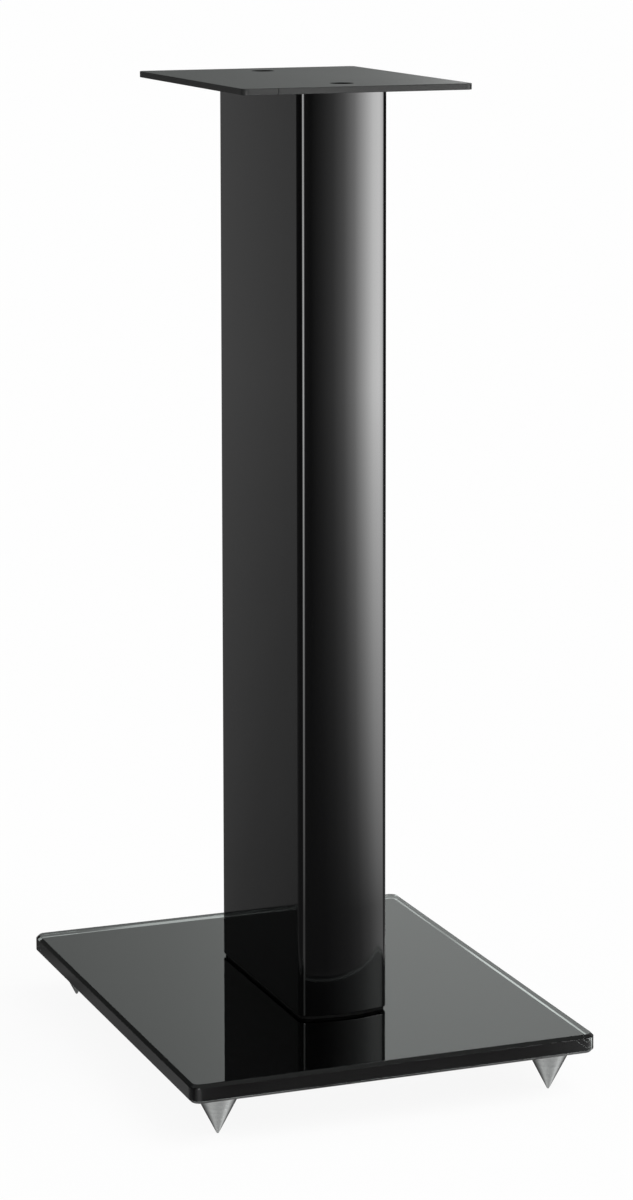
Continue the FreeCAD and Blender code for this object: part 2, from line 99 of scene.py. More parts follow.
class Finish:
    def __init__(self, name, owner=None):
        # owner is what holds the nodes: a new material, unless it is given
        self.material = owner or bpy.data.materials.new(name)
        self.material.use_nodes = True
        self.tree = self.material.node_tree
        self.tree.nodes.clear()

    def node(self, kind, settings=None, inputs=None, output=0):
        # any node: settings first, then its sockets, each a number, a colour or a wire
        made = self.tree.nodes.new(kind)
        for key, value in (settings or {}).items():
            if key == "stops":
                self.setStops(made.color_ramp, value)
            elif key == "interpolation":
                made.color_ramp.interpolation = value
            else:
                setattr(made, key, value)
        for key, value in (inputs or {}).items():
            if isinstance(value, Wire):
                self.tree.links.new(value.socket, made.inputs[key])
            else:
                made.inputs[key].default_value = value
        return Wire(self, made.outputs[output] if len(made.outputs) else None)

    def setStops(self, ramp, stops):
        while len(ramp.elements) < len(stops):
            ramp.elements.new(0.5)
        for element, (place, value) in zip(ramp.elements, stops):
            element.position = place
            element.color = (value, value, value, 1.0)

    def place(self):
        return self.node("ShaderNodeTexCoord", output="Object")

    def axes(self):
        split = self.node("ShaderNodeSeparateXYZ", inputs={0: self.place()}).socket.node
        return [Wire(self, split.outputs[index]) for index in range(3)]

    def noise(self, perMetre, detail=2.0, roughness=0.5, stretch=None):
        # noise whose features are about 1 / perMetre long
        where = self.place()
        if stretch:
            where = self.node("ShaderNodeMapping", inputs={"Vector": where, "Scale": stretch})
        return self.node("ShaderNodeTexNoise", {}, {
            "Vector": where, "Scale": perMetre, "Detail": detail, "Roughness": roughness})

    def blend(self, share, first, second):
        # each end is a colour or a wire
        ends = [end if isinstance(end, Wire) else (*end, 1.0) for end in (first, second)]
        return self.node("ShaderNodeMix", {"data_type": "RGBA"}, {0: share, 6: ends[0], 7: ends[1]}, output=2)

    def bump(self, height, distance, strength=1.0):
        return self.node("ShaderNodeBump", {}, {"Height": height, "Distance": distance,
                                                "Strength": strength})

    def surface(self, shader):
        self.node("ShaderNodeOutputMaterial", inputs={"Surface": shader})
        return self.material

    def principled(self, **sockets):
        # constants go straight on the shader's own sockets
        named = {key.replace("_", " "): value for key, value in sockets.items()}
        shader = self.node("ShaderNodeBsdfPrincipled", inputs=named)
        return self.surface(shader)


# surfaces worked out on grids, in millimetres

def traceOutline(arcs, support=0.5, touching=0.001):
    # goes anticlockwise: round each arc, centre + radius * (cos, sin) of its turn, then straight
    # on to the next arc, with a point a little inside each end of the straight side
    points, normals = [], []
    for index, (x, y, radius, first, last, steps) in enumerate(arcs):
        turn = np.radians(np.linspace(first, last, steps + 1))
        normal = np.column_stack((np.cos(turn), np.sin(turn)))
        ring = np.array((x, y)) + radius * normal
        nextX, nextY, nextRadius, nextFirst = arcs[(index + 1) % len(arcs)][:4]
        nextTurn = math.radians(nextFirst)
        target = np.array((nextX + nextRadius * math.cos(nextTurn), nextY + nextRadius * math.sin(nextTurn)))
        gap = target - ring[-1]
        length = np.linalg.norm(gap)
        if length < touching:
            ring, normal = ring[:-1], normal[:-1]
        points.append(ring)
        normals.append(normal)
        if length > 4 * support:
            step = gap / length * support
            points.append(np.array((ring[-1] + step, target - step)))
            normals.append(np.array((normal[-1], normal[-1])))
    return np.vstack(points), np.vstack(normals)


def roundedRectangle(width, depth, corner, steps=12):
    # four quarter circles of the corner's radius, joined by straight sides
    x, y = width / 2 - corner, depth / 2 - corner
    return traceOutline([(x, -y, corner, -90, 0, steps), (x, y, corner, 0, 90, steps),
                         (-x, y, corner, 90, 180, steps), (-x, -y, corner, 180, 270, steps)])


def softenProfile(bends, closed=False, steps=3, support=0.15):
    # a profile through the bends (inset, height, rounding): each rounded bend becomes the curve
    # (1-s)^2 start + 2s(1-s) bend + s^2 end, with a point just before and just after it
    places = np.array([bend[:2] for bend in bends], float)
    count = len(bends)
    rows = []
    for index, bend in enumerate(bends):
        place, rounding = places[index], bend[2]
        if rounding == 0 or (not closed and index in (0, count - 1)):
            rows.append(place[None, :])
            continue
        before = places[(index - 1) % count] - place
        after = places[(index + 1) % count] - place
        reachBefore, reachAfter = np.linalg.norm(before), np.linalg.norm(after)
        before, after = before / reachBefore, after / reachAfter
        s = np.linspace(0, 1, steps + 1)[:, None]
        start, end = place + before * rounding, place + after * rounding
        curve = (1 - s) ** 2 * start + 2 * s * (1 - s) * place + s ** 2 * end
        if reachBefore > 2 * (rounding + support):
            rows.append((start + before * support)[None, :])
        rows.append(curve)
        if reachAfter > 2 * (rounding + support):
            rows.append((end + after * support)[None, :])
    return np.vstack(rows)


def sweepWall(outline, profile):
    # point(t, s) = outline(t) - inset(s) * outward normal(t), at height(s)
    points, normals = outline
    inset, height = profile[:, :1], profile[:, 1:2]
    x = points[:, 0] - inset * normals[:, 0]
    y = points[:, 1] - inset * normals[:, 1]
    return np.stack((x, y, height + 0 * x), axis=2)


def turnWall(centre, profile, steps=64, hexShare=None):
    # point(t, s) = centre + radius(s) * (cos t, sin t), at height(s); where hexShare(s) is 1 the
    # ring is a hexagon, whose radius is radius(s) / cos(turn from the nearest flat's middle)
    turn = np.radians(np.arange(steps) * 360 / steps)
    radius, height = profile[:, :1], profile[:, 1:2]
    fromFlat = np.mod(turn, math.pi / 3) - math.pi / 6
    share = np.zeros_like(radius) if hexShare is None else np.array(hexShare, float)[:, None]
    reach = radius * (1 - share + share / np.cos(fromFlat))
    x = centre[0] + reach * np.cos(turn)
    y = centre[1] + reach * np.sin(turn)
    return np.stack((x, y, height + 0 * x), axis=2)


def gridFaces(rows, columns, closeRows=False, closeColumns=True):
    # a face joins a point, the next one in its row and the two above them; a closed way wraps round
    r, c = np.meshgrid(np.arange(rows if closeRows else rows - 1),
                       np.arange(columns if closeColumns else columns - 1), indexing="ij")
    up, along = (r + 1) % rows, (c + 1) % columns
    quads = np.stack((r * columns + c, r * columns + along, up * columns + along, up * columns + c), axis=-1)
    return quads.reshape(-1, 4)


def addGrid(shape, grid, closeRows=False):
    # adds one grid to a bmesh and returns its vertices, row by row
    rows, columns = grid.shape[:2]
    vertices = [shape.verts.new(place) for place in grid.reshape(-1, 3) * mm]
    for quad in gridFaces(rows, columns, closeRows):
        shape.faces.new([vertices[index] for index in quad])
    return [vertices[row * columns:(row + 1) * columns] for row in range(rows)]


def closeFlat(shape, rings, up):
    # fills the flat between an outer ring and the holes in it
    edges = [shape.edges.get((ring[index - 1], ring[index])) for ring in rings for index in range(len(ring))]
    made = bmesh.ops.triangle_fill(shape, use_beauty=True, edges=edges, normal=(0, 0, up))
    for face in made["geom"]:
        if isinstance(face, bmesh.types.BMFace) and face.normal.z * up < 0:
            face.normal_flip()


def meshFrom(name, shape, finish):
    # doubled points are merged first, so that seams and poles are closed
    bmesh.ops.remove_doubles(shape, verts=shape.verts, dist=mergeWithin)
    mesh = bpy.data.meshes.new(name)
    shape.to_mesh(mesh)
    shape.free()
    mesh.materials.append(finish)
    return mesh


def addObject(name, data):
    added = bpy.data.objects.new(name, data)
    bpy.context.scene.collection.objects.link(added)
    return added


def makePiece(name, shape, finish, body, node, sharpAngle=32):
    mesh = meshFrom(name, shape, finish)
    mesh.polygons.foreach_set("use_smooth", np.ones(len(mesh.polygons), bool))
    mesh.set_sharp_from_angle(angle=math.radians(sharpAngle))
    piece = addObject(name, mesh)
    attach(piece, body)
    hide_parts(node)


def plainEdge(low, top, rounding, flat):
    # an upright side with both its edges rounded, and a little of the flat above and below it
    return softenProfile([(flat, low, 0), (0, low, rounding), (0, top, rounding), (flat, top, 0)])


def twoHoles(y, wall):
    # the same hole in front of the middle and behind it
    return [((0, -y), wall), ((0, y), wall)]


def sheetShape(outline, edge, holes=()):
    # a flat piece: its edge profile swept round the outline, and each hole's wall turned downwards
    shape = bmesh.new()
    wall = addGrid(shape, sweepWall(outline, edge))
    drilled = [addGrid(shape, turnWall(centre, np.array(profile, float), 48)) for centre, profile in holes]
    closeFlat(shape, [wall[-1]] + [rows[0] for rows in drilled], 1)
    closeFlat(shape, [wall[0]] + [rows[-1] for rows in drilled], -1)
    return shape


# finishes: scales are in features a metre, and depths in metres

glossIor = 1.5

lacquerLook = {"dark": (0.0018, 0.0018, 0.002), "light": (0.003, 0.003, 0.0032), "rough": 0.035,
               "hazeRough": 0.03, "hazeScale": 9.0, "hazeStretch": (1.0, 1.0, 0.15),
               "peelScale": 240.0, "peelDeep": 0.0000012, "peelShare": 0.35}


def lacquerFinish(s):
    # gloss black: nearly even, with a faint polishing haze and the slightest orange peel
    finish = Finish("column lacquer")
    haze = finish.noise(s["hazeScale"], 3.0, stretch=s["hazeStretch"])
    peel = finish.noise(s["peelScale"], 1.0)
    return finish.principled(Base_Color=finish.blend(haze, s["dark"], s["light"]), IOR=glossIor,
                             Roughness=s["rough"] + s["hazeRough"] * haze,
                             Normal=finish.bump(peel, s["peelDeep"], s["peelShare"]))


# the sink's colour is darker than the coat: painted shade in the screws' recesses
powderLook = {"dark": (0.009, 0.0092, 0.009), "light": (0.021, 0.0215, 0.021), "rough": 0.46,
              "grainRough": 0.14, "grainScale": 1500.0, "lumpScale": 900.0, "lumpSoft": 0.6,
              "cloudScale": 14.0, "deep": 0.00009, "share": 0.8,
              "sinkShadeColour": (0.008, 0.008, 0.008), "sinkRough": 0.85, "sinkFade": 0.1}


def powderFinish(s, plate):
    # fine-texture powder coat: small round grains and dark pits between them. Within sinkRadius of the
    # nearest hole's axis, each screw's sink is drawn as dull, darker metal without grains: painted shade for
    # the recess
    finish = Finish("plate powder coat")
    grain = finish.noise(s["grainScale"], 2.0, 0.6)
    lumps = finish.node("ShaderNodeTexVoronoi", {"feature": "SMOOTH_F1"}, {
        "Vector": finish.place(), "Scale": s["lumpScale"], "Smoothness": s["lumpSoft"]})
    cloud = finish.noise(s["cloudScale"], 2.0)
    x, y, _ = finish.axes()
    fromHole = y.math("ABSOLUTE", y) - plate["holeY"] * mm
    distance = (x * x + fromHole * fromHole).power(0.5)
    # inside each sink the colour goes darker and duller: painted shade for the recess, not a real change of
    # finish
    outsideSink = distance.ramped((plate["sinkRadius"] - s["sinkFade"]) * mm,
                             (plate["sinkRadius"] + s["sinkFade"]) * mm)
    height = ((1 - lumps) * 0.7 + grain * 0.5) * outsideSink
    coat = finish.blend((grain * 0.7 + cloud * 0.3).ramped(0.3, 0.75), s["dark"], s["light"])
    smoother = outsideSink * (s["sinkRough"] - s["rough"] - s["grainRough"] * grain)
    return finish.principled(Base_Color=finish.blend(outsideSink, s["sinkShadeColour"], coat), IOR=glossIor,
                             Metallic=1 - outsideSink, Roughness=s["sinkRough"] - smoother,
                             Normal=finish.bump(height, s["deep"], s["share"]))


glassLook = {"dark": (0.775, 0.848, 0.822), "light": (0.79, 0.858, 0.834), "wipeScale": 22.0}


def glassFinish(s):
    # clear, with the slight green of thick glass, a little uneven as if wiped
    finish = Finish("clear glass")
    wipe = finish.noise(s["wipeScale"], 2.0)
    return finish.principled(Base_Color=finish.blend(wipe, s["dark"], s["light"]), Roughness=0.0,
                             IOR=glossIor, Transmission_Weight=1.0)


filmLook = {"dark": (0.0012, 0.0012, 0.0013), "light": (0.002, 0.002, 0.0022), "rough": 0.6,
            "cloudRough": 0.1, "cloudScale": 30.0}


def filmFinish(s):
    # black without a gloss of its own, because it is bonded to the glass
    finish = Finish("black film")
    cloud = finish.noise(s["cloudScale"], 2.0)
    return finish.principled(Base_Color=finish.blend(cloud, s["dark"], s["light"]),
                             Roughness=s["rough"] + s["cloudRough"] * cloud, Specular_IOR_Level=0.0)


rubberLook = {"dark": (0.004, 0.004, 0.004), "light": (0.008, 0.008, 0.0078), "rough": 0.72,
              "grainRough": 0.16, "specular": 0.15, "grainScale": 2200.0, "cloudScale": 60.0,
              "deep": 0.00003, "share": 0.6}


def rubberFinish(s):
    # matt black with a fine grain and soft clouds
    finish = Finish("black rubber")
    grain = finish.noise(s["grainScale"], 2.0)
    cloud = finish.noise(s["cloudScale"], 3.0)
    return finish.principled(Base_Color=finish.blend(cloud, s["dark"], s["light"]),
                             Roughness=s["rough"] + s["grainRough"] * grain,
                             Specular_IOR_Level=s["specular"],
                             Normal=finish.bump(grain, s["deep"], s["share"]))


steelGrain = {"cloudRough": 0.1, "grainScale": 3000.0, "deep": 0.000006, "share": 0.5}
oxideLook = {**steelGrain, "dark": (0.025, 0.025, 0.027), "light": (0.05, 0.05, 0.052),
             "rough": 0.34, "cloudScale": 260.0}
zincLook = {**steelGrain, "dark": (0.48, 0.49, 0.51), "light": (0.62, 0.63, 0.64),
            "rough": 0.27, "cloudScale": 160.0}


def steelFinish(name, s):
    # plated or blackened steel: soft clouds in colour and polish, and a fine grain
    finish = Finish(name)
    cloud = finish.noise(s["cloudScale"], 3.0, 0.6)
    grain = finish.noise(s["grainScale"], 1.0)
    return finish.principled(Base_Color=finish.blend(cloud.ramped(0.3, 0.7), s["dark"], s["light"]),
                             Metallic=1.0, Roughness=s["rough"] + s["cloudRough"] * cloud,
                             Normal=finish.bump(grain, s["deep"], s["share"]))


turnedLook = {"dark": (0.5, 0.513, 0.507), "light": (0.62, 0.636, 0.628), "rough": 0.17,
              "streakRough": 0.08, "ringPitch": 0.00042, "bandScale": 900.0, "streakScale": 1500.0,
              "deep": 0.000006, "share": 0.4}


def turnedFinish(s):
    # turned steel: faint tool rings up the piece, and satin streaks that run across them
    finish = Finish("satin turned steel")
    ring = (finish.axes()[2] * (2 * math.pi / s["ringPitch"])).wave()
    band = finish.noise(s["bandScale"], 2.0, stretch=(0.02, 0.02, 1.0))
    streak = finish.noise(s["streakScale"], 2.0, 0.6, stretch=(1.0, 1.0, 0.1))
    colour = finish.blend((band * 0.4 + streak * 0.6).ramped(0.3, 0.7), s["dark"], s["light"])
    height = ring * 0.2 + band * 0.6 + streak
    return finish.principled(Base_Color=colour, Metallic=1.0,
                             Roughness=s["rough"] + s["streakRough"] * streak,
                             Normal=finish.bump(height, s["deep"], s["share"]))


nylonLook = {"dark": (0.78, 0.77, 0.72), "light": (0.87, 0.87, 0.84), "rough": 0.42,
             "cloudRough": 0.12, "cloudScale": 180.0}


def nylonFinish(s):
    # milky white, a little cloudy
    finish = Finish("natural nylon")
    cloud = finish.noise(s["cloudScale"], 3.0)
    return finish.principled(Base_Color=finish.blend(cloud, s["dark"], s["light"]),
                             Roughness=s["rough"] + s["cloudRough"] * cloud)


# top plate

plateSizes = {"width": 150.0, "depth": 200.0, "thick": 4.0, "top": 627.0, "corner": 4.0, "edge": 0.4,
              "edgeFlat": 1.5, "holeY": 70.0, "sinkRadius": 7.4, "sinkEdge": 0.08, "holeRadius": 3.5,
              "markX": -52.5, "markWide": 0.7, "markDeep": 0.35, "markEnd": 0.4}


def plateOutline(s):
    # the rounded rectangle, with the laser's start mark as a small notch in its front side
    points, normals = roundedRectangle(s["width"], s["depth"], s["corner"])
    half = s["markWide"] / 2
    end = half + s["markEnd"]
    across = s["markX"] + np.array((-end, -half, -half * 0.5, half * 0.5, half, end))
    inward = np.array((0.0, 0.0, 1.0, 1.0, 0.0, 0.0)) * s["markDeep"]
    mark = np.column_stack((across, inward - s["depth"] / 2))
    facing = np.tile((0.0, -1.0), (len(mark), 1))
    return np.vstack((points[:-1], mark, points[-1:])), np.vstack((normals[:-1], facing, normals[-1:]))


def makeTopPlate(finish):
    # the holes' walls go down a short bevel, the screw's sink at 45 degrees, and the bore
    s = plateSizes
    top, low = s["top"], s["top"] - s["thick"]
    sink, bore = s["sinkRadius"], s["holeRadius"]
    wall = [(sink + s["sinkEdge"], top), (sink, top - s["sinkEdge"]), (bore, top - (sink - bore)),
            (bore, low)]
    edge = plainEdge(low, top, s["edge"], s["edgeFlat"])
    shape = sheetShape(plateOutline(s), edge, twoHoles(s["holeY"], wall))
    makePiece("topPlate", shape, finish, "stand", "top_plate")
    print("top plate made")


# column and gasket

columnSizes = {"width": 59.0, "depth": 155.0, "endRadius": 90.0, "corner": 5.0, "wall": 3.0,
               "endSteps": 72, "cornerSteps": 20, "low": 41.0, "top": 623.0, "lowerEdge": 0.6,
               "upperEdge": 0.2, "webThick": 3.0, "webCorner": 0.3, "webInset": 0.02,
               "webPort": (7.0, 4.0), "endPort": (6.0, 3.0), "endPortY": 70.0, "boltY": 42.0}
gasketSizes = {"low": 39.0, "top": 41.0, "inset": 1.2, "edge": 0.3, "edgeFlat": 1.0, "holeRadius": 4.2}


def columnOutline(s, inset=0.0):
    # flat sides, curved ends of one large radius, and corners that touch both
    corner, bend = s["corner"], s["endRadius"]
    wide, tight = s["endSteps"], s["cornerSteps"]
    x = s["width"] / 2 - corner
    centre = bend - s["depth"] / 2
    y = math.sqrt((bend - corner) ** 2 - x ** 2) - centre
    half = math.degrees(math.asin(x / (bend - corner)))
    c, b = corner - inset, bend - inset
    return traceOutline([
        (0, centre, b, -90 - half, -90 + half, wide), (x, -y, c, -90 + half, 0, tight),
        (x, y, c, 0, 90 - half, tight), (0, -centre, b, 90 - half, 90 + half, wide),
        (-x, y, c, 90 + half, 180, tight), (-x, -y, c, 180, 270 - half, tight)])


def makeColumn(finish):
    s = columnSizes
    wall = softenProfile([(0, s["low"], s["lowerEdge"]), (0, s["top"], s["upperEdge"]),
                          (s["wall"], s["top"], s["upperEdge"]), (s["wall"], s["low"], s["upperEdge"])],
                         closed=True, steps=5)
    shape = bmesh.new()
    addGrid(shape, sweepWall(columnOutline(s), wall), closeRows=True)
    low, top = s["low"] + s["webInset"], s["top"] - s["webInset"]
    for y in (-1, 1):
        # two webs across the tube, a screw port in each, and one at each end wall
        points, normals = roundedRectangle(s["width"] - s["wall"], s["webThick"], s["webCorner"], 3)
        outline = points + np.array((0, y * s["boltY"])), normals
        rows = addGrid(shape, sweepWall(outline, np.array(((0, low), (0, top)), float)))
        closeFlat(shape, [rows[0]], -1)
        closeFlat(shape, [rows[1]], 1)
        for along, (outer, bore) in ((s["boltY"], s["webPort"]), (s["endPortY"], s["endPort"])):
            profile = np.array(((outer, low), (outer, top), (bore, top), (bore, low)), float)
            addGrid(shape, turnWall((0, y * along), profile, 40), closeRows=True)
    makePiece("columnTube", shape, finish, "stand", "column")
    print("column made")


def makeGasket(finish):
    s = gasketSizes
    wall = [(s["holeRadius"], s["top"]), (s["holeRadius"], s["low"])]
    edge = plainEdge(s["low"], s["top"], s["edge"], s["edgeFlat"])
    shape = sheetShape(columnOutline(columnSizes, s["inset"]), edge, twoHoles(columnSizes["boltY"], wall))
    makePiece("columnGasket", shape, finish, "stand", "column_gasket")
    print("gasket made")


# glass base and what is clamped under it

baseSizes = {"width": 266.0, "depth": 330.0, "low": 27.0, "top": 39.0, "corner": 7.0, "bevel": 2.0,
             "arris": 0.25, "edgeFlat": 2.0, "holeRadius": 7.0, "boltY": 42.0}
filmSizes = {"inset": 3.5, "thick": 0.3, "bond": 0.05}
clampSizes = {"width": 52.0, "depth": 130.0, "corner": 6.0, "holeRadius": 4.2, "edgeFlat": 1.0,
              "sheetTop": 26.7, "sheetLow": 25.7, "sheetEdge": 0.1, "plateLow": 22.7, "plateEdge": 0.3}


def makeGlassBase(finish):
    # the side is bevelled at 45 degrees above and below
    s = baseSizes
    low, top, bevel, arris = s["low"], s["top"], s["bevel"], s["arris"]
    flat = bevel + s["edgeFlat"]
    edge = softenProfile([(flat, low, 0), (bevel, low, arris), (0, low + bevel, arris),
                          (0, top - bevel, arris), (bevel, top, arris), (flat, top, 0)])
    wall = [(s["holeRadius"], top), (s["holeRadius"], low)]
    outline = roundedRectangle(s["width"], s["depth"], s["corner"], 16)
    shape = sheetShape(outline, edge, twoHoles(s["boltY"], wall))
    makePiece("glassBase", shape, finish, "stand", "glass_base")
    print("glass base made")


def makeFilm(finish):
    # bonded to the glass: its upper face lies a hair inside, so that no air shows between them
    glass, s = baseSizes, filmSizes
    low, top, inset = glass["low"] - s["thick"], glass["low"] + s["bond"], s["inset"]
    outline = roundedRectangle(glass["width"] - 2 * inset, glass["depth"] - 2 * inset,
                               glass["corner"] - inset, 8)
    wall = [(glass["holeRadius"], top), (glass["holeRadius"], low)]
    side = np.array(((0, low), (0, top)), float)
    shape = sheetShape(outline, side, twoHoles(glass["boltY"], wall))
    makePiece("backingFilm", shape, finish, "stand", "backing_film")
    print("film made")


def makeClampSheets(rubber, steel):
    s = clampSizes
    outline = roundedRectangle(s["width"], s["depth"], s["corner"])
    for name, node, slot, finish, low, top, rounding in (
            ("clampSheet", "clamp_sheet", "black_rubber", rubber,
             s["sheetLow"], s["sheetTop"], s["sheetEdge"]),
            ("clampPlate", "clamp_plate", "plain_steel", steel,
             s["plateLow"], s["sheetLow"], s["plateEdge"])):
        edge = plainEdge(low, top, rounding, s["edgeFlat"])
        wall = [(s["holeRadius"], top), (s["holeRadius"], low)]
        shape = sheetShape(outline, edge, twoHoles(baseSizes["boltY"], wall))
        makePiece(name, shape, finish, "stand", node)
    print("clamp sheets made")


# turned pieces

def turnedShape(centre, profile, steps=64, closeRows=False):
    shape = bmesh.new()
    addGrid(shape, turnWall(centre, profile, steps), closeRows)
    return shape


ringSizes = {"boltY": 42.0, "bore": 4.2, "washerRadius": 8.0, "washerLow": 21.1, "washerTop": 22.7,
             "washerEdge": 0.25, "sleeveRadius": 6.9, "sleeveLow": 26.7, "sleeveTop": 39.0, "sleeveEdge": 0.3}


def makeRings(steel, nylon):
    # a ring's section is a rectangle with its four corners rounded
    s = ringSizes
    for side, y in (("front", -s["boltY"]), ("rear", s["boltY"])):
        for name, node, slot, finish, outer, low, top, soft in (
                ("baseWasher_" + side, "base_washer_" + side, "plain_steel", steel,
                 s["washerRadius"], s["washerLow"], s["washerTop"], s["washerEdge"]),
                ("boltSleeve_" + side, "bolt_sleeve_" + side, "white_nylon", nylon,
                 s["sleeveRadius"], s["sleeveLow"], s["sleeveTop"], s["sleeveEdge"])):
            profile = softenProfile([(outer, low, soft), (outer, top, soft), (s["bore"], top, soft),
                                     (s["bore"], low, soft)], closed=True)
            makePiece(name, turnedShape((0, y), profile, closeRows=True), finish, "stand", node)
    print("washers and sleeves made")


threadShape = {"rowHeight": 0.125, "flank": 2.4, "crest": 0.1, "root": 1.1}


def threadRows(low, high):
    count = int(round((high - low) / threadShape["rowHeight"])) + 1
    return np.linspace(low, high, count)


def addThread(grid, first, last, centre, s, lowEnd, highEnd):
    # radius(t, z) = thread - deep * (how far the height is from the crest of a right-hand helix),
    # and never more than the bevel at either end allows
    outer, deep, shape = s["thread"], s["deep"], threadShape
    block = grid[first:last]
    turn = np.arctan2(block[:, :, 1] - centre[1], block[:, :, 0] - centre[0])
    height = block[:, :, 2]
    phase = np.mod(height / s["pitch"] - turn / (2 * math.pi), 1.0)
    away = np.clip(np.abs(phase - 0.5) * shape["flank"] - shape["crest"], 0, 1)
    radius = outer - deep * away
    radius = np.minimum(radius, outer - deep + np.minimum(height - lowEnd, highEnd - height))
    radius = np.maximum(radius, outer - deep * shape["root"])
    block[:, :, 0] = centre[0] + radius * np.cos(turn)
    block[:, :, 1] = centre[1] + radius * np.sin(turn)


# a screw's rows are (radius, height, how much of a hexagon the ring is)
screwSizes = {"head": 625.5, "headRadius": 5.65, "headRim": 0.2, "rimEdge": 0.05, "length": 22.0,
              "thread": 2.95, "pitch": 1.0, "deep": 0.55, "runOut": 2.0, "socketFlat": 2.0,
              "socketDeep": 2.2, "mouth": 0.5, "mouthEdge": 0.12, "tipFlat": 0.4, "tipDeep": 0.5, "y": 70.0}
# a bolt's head is (radius, height above its crown)
boltSizes = {"low": 16.7, "top": 61.1, "thread": 3.95, "pitch": 1.25, "deep": 0.7, "runOut": 2.0,
             "head": ((4.1, 0.0), (4.6, 0.12), (5.45, 0.5), (6.2, 1.1), (6.7, 1.9), (7.0, 2.8),
                      (7.0, 4.2), (6.8, 4.4)),
             "socketFlat": 2.5, "socketDeep": 2.6, "mouthEdge": 0.15, "tipFlat": 0.4, "tipDeep": 0.6,
             "y": 42.0}
studSizes = {"low": 12.0, "top": 26.0, "thread": 3.95, "pitch": 1.25, "deep": 0.7}


def makeTopScrews(finish):
    # upwards: point, thread, countersunk head and its rim, then down the hexagon socket
    s = screwSizes
    top, tip = s["head"], s["head"] - s["length"]
    neck = top - s["headRim"] - (s["headRadius"] - s["thread"])
    flat, bottom = s["socketFlat"], top - s["socketDeep"]
    heights = threadRows(tip, neck)
    rows = [(0, tip, 0)] + [(s["thread"], z, 0) for z in heights]
    rows += [(s["headRadius"], top - s["headRim"], 0), (s["headRadius"], top - s["rimEdge"], 0),
             (s["headRadius"] - s["rimEdge"], top, 0), (flat + s["mouth"], top, 0.3),
             (flat + s["mouthEdge"], top, 1), (flat, top - s["mouthEdge"], 1), (flat, bottom, 1),
             (s["tipFlat"], bottom - s["tipDeep"], 0), (0, bottom - s["tipDeep"], 0)]
    rows = np.array(rows, float)
    for side, y in (("front", -s["y"]), ("rear", s["y"])):
        grid = turnWall((0, y), rows, 72, rows[:, 2])
        addThread(grid, 1, 1 + len(heights), (0, y), s, tip, neck + s["runOut"])
        shape = bmesh.new()
        addGrid(shape, grid)
        makePiece("topScrew_" + side, shape, finish, "stand", "top_screw_" + side, 28)
    print("top screws made")


def makeBaseBolts(finish):
    # from inside: down the hexagon socket, round the head's crown, then up the thread
    s = boltSizes
    low, under = s["low"], s["low"] + s["head"][-1][1]
    flat, bottom = s["socketFlat"], low + s["socketDeep"]
    heights = threadRows(under, s["top"])
    rows = [(0, bottom + s["tipDeep"], 0), (s["tipFlat"], bottom + s["tipDeep"], 0), (flat, bottom, 1),
            (flat, low + s["mouthEdge"], 1), (flat + s["mouthEdge"], low, 1)]
    rows += [(radius, low + height, 0) for radius, height in s["head"]]
    first = len(rows)
    rows += [(s["thread"], z, 0) for z in heights] + [(0, s["top"], 0)]
    rows = np.array(rows, float)
    for side, y in (("front", -s["y"]), ("rear", s["y"])):
        grid = turnWall((0, y), rows, 72, rows[:, 2])
        addThread(grid, first, first + len(heights), (0, y), s, under - s["runOut"], s["top"])
        shape = bmesh.new()
        addGrid(shape, grid)
        makePiece("baseBolt_" + side, shape, finish, "stand", "base_bolt_" + side, 28)
    print("base bolts made")


def makeStud(name, centre, finish):
    s = studSizes
    heights = threadRows(s["low"], s["top"])
    rows = np.array([(0, s["low"])] + [(s["thread"], z) for z in heights] + [(0, s["top"])], float)
    grid = turnWall(centre, rows, 60)
    addThread(grid, 1, 1 + len(heights), centre, s, s["low"], s["top"])
    shape = bmesh.new()
    addGrid(shape, grid)
    makePiece("spikeStud_" + name, shape, finish, name + "_stud", "spike_stud_" + name, 28)


footSizes = {"seam": 21.4, "seamGap": 0.01, "seamBevel": 0.1, "tip": 0.55, "tipRound": 0.45,
             "slope": 0.515, "socketTop": 26.7, "socketLand": 1.2, "landEdge": 0.2, "topEdge": 0.15,
             "bore": 4.0, "boreDeep": 9.6, "boreEdge": 0.4, "boreEnd": 0.3}


def makeFeet(plated, turned):
    # radius(height) = tip + slope * height, for the spike and on up its socket
    s = footSizes
    seam, top, bore = s["seam"], s["socketTop"], s["bore"]
    land, under, deep = top - s["socketLand"], seam - s["seamGap"], seam - s["boreDeep"]
    foot, head = s["tip"] + s["slope"] * seam, s["tip"] + s["slope"] * land
    socketProfile = softenProfile([(foot, seam, s["seamBevel"]), (head, land, s["landEdge"]),
                                   (head, top, s["topEdge"]), (bore, top, s["boreEnd"]),
                                   (bore, seam, s["boreEdge"])], closed=True, steps=4)
    spikeProfile = softenProfile([(0, 0, 0), (s["tip"], 0, s["tipRound"]), (foot, under, s["seamBevel"]),
                                  (bore, under, s["boreEdge"]), (bore, deep, s["boreEnd"]),
                                  (0, deep, 0)], steps=4)
    for name, centre in corners.items():
        socket = turnedShape(centre, socketProfile, 96, closeRows=True)
        makePiece("footSocket_" + name, socket, turned, "stand", "foot_socket_" + name)
        makeStud(name, centre, plated)
        makePiece("spike_" + name + "_turned", turnedShape(centre, spikeProfile, 96), turned,
                  name + "_spike", "spike_" + name)
    print("feet made")


# studio: floor, light tent, lamps, camera, in metres

floorSizes = {"rings": (0.0, 0.4, 1.0, 3.0, 10.0, 40.0), "steps": 96,
              "colour": (0.93, 0.93, 0.93, 1.0), "whiteShare": 0.92}

